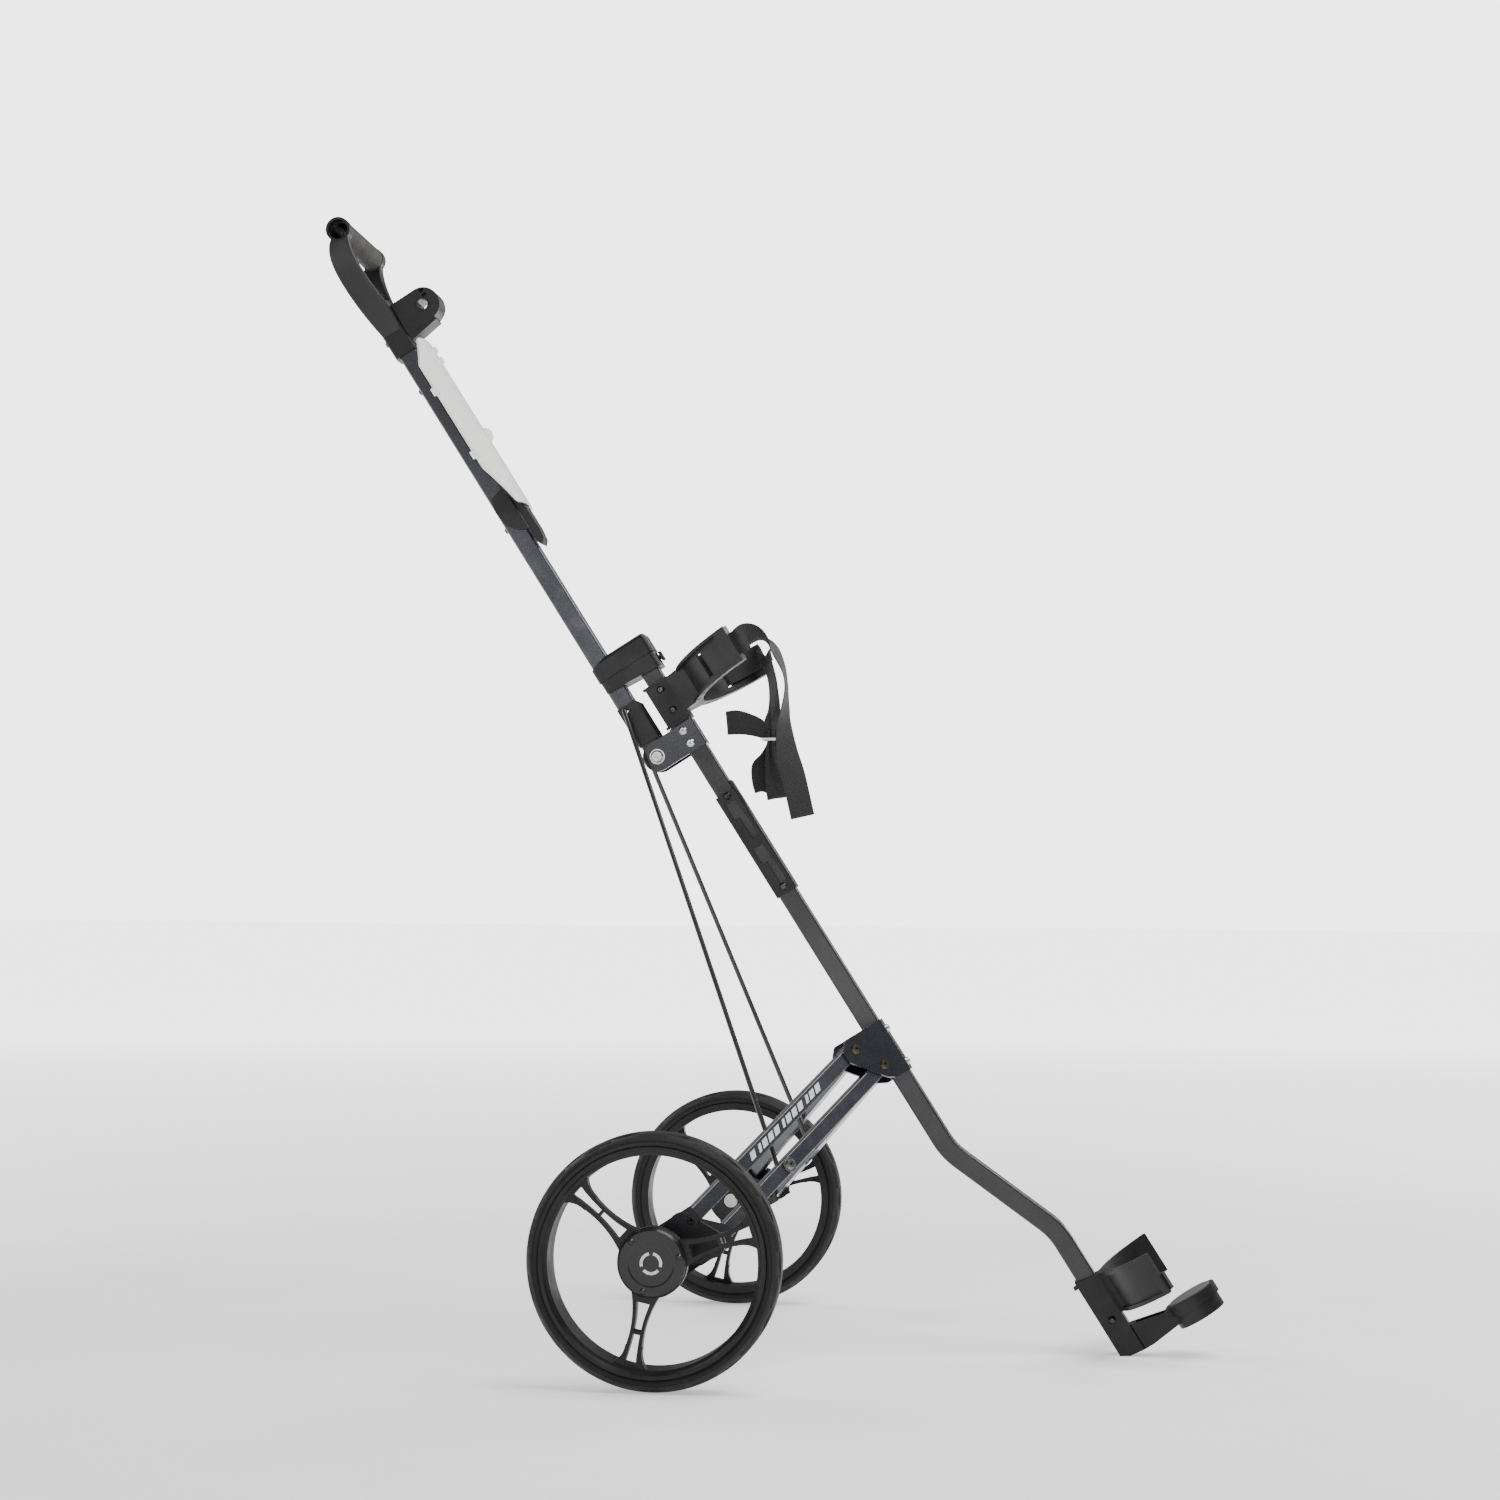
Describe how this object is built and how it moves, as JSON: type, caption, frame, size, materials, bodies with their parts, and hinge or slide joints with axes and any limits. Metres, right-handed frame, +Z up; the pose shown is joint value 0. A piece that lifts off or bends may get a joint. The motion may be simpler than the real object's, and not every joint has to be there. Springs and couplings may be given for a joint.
{
  "type": "folding golf trolley",
  "caption": "Folding pull trolley for a golf bag, with a square-tube frame, splayed link legs, spoked wheels, bag cradles and a hinged handle.",
  "frame": {"origin": "centre of the bounding box's base, on the ground", "axes": "+Z up, +X towards the bag side and the foot, +Y towards the trolley's left wheel"},
  "size_m": [0.9308, 0.6202, 1.17],
  "materials": {
    "tube_black": "satin black powder coat",
    "tube_charcoal": "gloss metallic charcoal",
    "bracket_steel": "gloss blue-black",
    "zinc_steel": "zinc plated",
    "dark_steel": "blackened",
    "black_plastic": "fine grain satin",
    "rim_plastic": "satin",
    "cap_plastic": "gloss",
    "white_plastic": "translucent warm white",
    "grip_rubber": "matte olive grey",
    "pad_rubber": "matte light grey",
    "tyre": "matte dark grey",
    "webbing": "woven black webbing"
  },
  "bodies": {
    "frame": {"main_tube": "tube_black", "latch_cap": "black_plastic", "latch_body": "black_plastic", "latch_spring": "zinc_steel", "upper_bag_bracket": "black_plastic", "upper_bracket_screws": "dark_steel", "pivot_bracket": "bracket_steel", "pivot_bracket_rivets": "zinc_steel", "pivot_bolt": "zinc_steel", "pivot_nut": "zinc_steel", "accessory_clip": "black_plastic", "accessory_clip_screws": "dark_steel", "leg_bracket_outer": "bracket_steel", "leg_bracket_inner": "bracket_steel", "leg_bracket_bolts": "zinc_steel", "leg_hinge_pins": "dark_steel", "lower_bag_bracket": "black_plastic", "lower_bracket_screws": "dark_steel", "base_foot": "black_plastic", "foot_pad": "pad_rubber", "lower_bag_strap": "webbing", "right_bag_strap": "webbing", "left_bag_strap": "webbing", "strap_bundle": "webbing", "strap_tie": "white_plastic"},
    "latch_button": {"latch_button": "black_plastic"},
    "handle": {"handle_tube": "tube_charcoal", "handle_yoke": "black_plastic", "grip_cover": "grip_rubber", "umbrella_mount": "black_plastic", "umbrella_insert": "black_plastic", "handle_screws": "dark_steel", "rod_block": "black_plastic", "card_console": "black_plastic"},
    "card_cover": {"card_cover": "white_plastic", "card_clips": "white_plastic"},
    "right_upper_bar": {"right_upper_bar": "tube_charcoal"},
    "right_lower_bar": {"right_lower_bar": "tube_charcoal", "right_rod_bolt": "zinc_steel"},
    "right_carrier": {"right_wheel_carrier": "black_plastic", "right_carrier_pins": "dark_steel", "right_axle": "zinc_steel"},
    "right_wheel": {"right_rim": "rim_plastic", "right_tyre": "tyre", "right_wheel_bearings": "zinc_steel", "right_hub_cap": "cap_plastic", "right_cap_screws": "dark_steel"},
    "right_rod": {"right_rod": "bracket_steel"},
    "left_upper_bar": {"left_upper_bar": "tube_charcoal"},
    "left_lower_bar": {"left_lower_bar": "tube_charcoal", "left_rod_bolt": "zinc_steel"},
    "left_carrier": {"left_wheel_carrier": "black_plastic", "left_carrier_pins": "dark_steel", "left_axle": "zinc_steel"},
    "left_wheel": {"left_rim": "rim_plastic", "left_tyre": "tyre", "left_wheel_bearings": "zinc_steel", "left_hub_cap": "cap_plastic", "left_cap_screws": "dark_steel"},
    "left_rod": {"left_rod": "bracket_steel"}
  },
  "joints": [
    {"name": "handle_fold", "type": "hinge", "parent": "frame", "child": "handle", "pos_m": [-0.11722, 0, 0.60574], "axis": [0, -1, 0], "range_deg": [0, 172]},
    {"name": "card_cover_hinge", "type": "hinge", "parent": "handle", "child": "card_cover", "pos_m": [-0.34819, -0.0622, 0.98504], "axis": [0.5373, 0, -0.8434], "range_deg": [0, 100]},
    {"name": "latch_press", "type": "slide", "parent": "frame", "child": "latch_button", "axis": [-0.8434, 0, -0.5373], "range_m": [0, 0.003], "stiffness_N_per_m": 1500, "springref_m": -0.002},
    {"name": "right_upper_bar_swing", "type": "hinge", "parent": "frame", "child": "right_upper_bar", "pos_m": [0.08852, -0.0405, 0.30226], "axis": [0.6155, -0.6837, 0.3921], "range_deg": [0, 73.6]},
    {"name": "right_lower_bar_swing", "type": "hinge", "parent": "frame", "child": "right_lower_bar", "pos_m": [0.11686, -0.02408, 0.28641], "axis": [0.6155, -0.6837, 0.3921], "range_deg": [0, 73.6]},
    {"name": "right_carrier_turn", "type": "hinge", "parent": "right_upper_bar", "child": "right_carrier", "pos_m": [-0.04839, -0.25126, 0.14972], "axis": [0.6155, -0.6837, 0.3921], "range_deg": [-73.6, 0]},
    {"name": "right_rod_turn", "type": "hinge", "parent": "right_lower_bar", "child": "right_rod", "pos_m": [0.02859, -0.14201, 0.19129], "axis": [-0.6155, 0.6837, -0.3921], "range_deg": [0, 56.5]},
    {"name": "right_wheel_spin", "type": "hinge", "parent": "right_carrier", "child": "right_wheel", "pos_m": [-0.07048, -0.28819, 0.12], "axis": [0, 1, 0], "continuous": true},
    {"name": "left_upper_bar_swing", "type": "hinge", "parent": "frame", "child": "left_upper_bar", "pos_m": [0.08852, 0.0405, 0.30226], "axis": [-0.6155, -0.6837, -0.3921], "range_deg": [0, 73.6]},
    {"name": "left_lower_bar_swing", "type": "hinge", "parent": "frame", "child": "left_lower_bar", "pos_m": [0.11686, 0.02408, 0.28641], "axis": [-0.6155, -0.6837, -0.3921], "range_deg": [0, 73.6]},
    {"name": "left_carrier_turn", "type": "hinge", "parent": "left_upper_bar", "child": "left_carrier", "pos_m": [-0.04839, 0.25126, 0.14972], "axis": [-0.6155, -0.6837, -0.3921], "range_deg": [-73.6, 0]},
    {"name": "left_rod_turn", "type": "hinge", "parent": "left_lower_bar", "child": "left_rod", "pos_m": [0.02859, 0.14201, 0.19129], "axis": [0.6155, 0.6837, 0.3921], "range_deg": [0, 56.5]},
    {"name": "left_wheel_spin", "type": "hinge", "parent": "left_carrier", "child": "left_wheel", "pos_m": [-0.07048, 0.28819, 0.12], "axis": [0, 1, 0], "continuous": true}
  ],
  "couplings": [
    {"joint": "right_upper_bar_swing", "follows": "handle_fold", "ratio": 0.42733},
    {"joint": "right_lower_bar_swing", "follows": "handle_fold", "ratio": 0.42733},
    {"joint": "right_carrier_turn", "follows": "handle_fold", "ratio": -0.42733},
    {"joint": "right_rod_turn", "follows": "handle_fold", "ratio": 0.3245},
    {"joint": "left_upper_bar_swing", "follows": "handle_fold", "ratio": 0.42733},
    {"joint": "left_lower_bar_swing", "follows": "handle_fold", "ratio": 0.42733},
    {"joint": "left_carrier_turn", "follows": "handle_fold", "ratio": -0.42733},
    {"joint": "left_rod_turn", "follows": "handle_fold", "ratio": 0.3245}
  ]
}
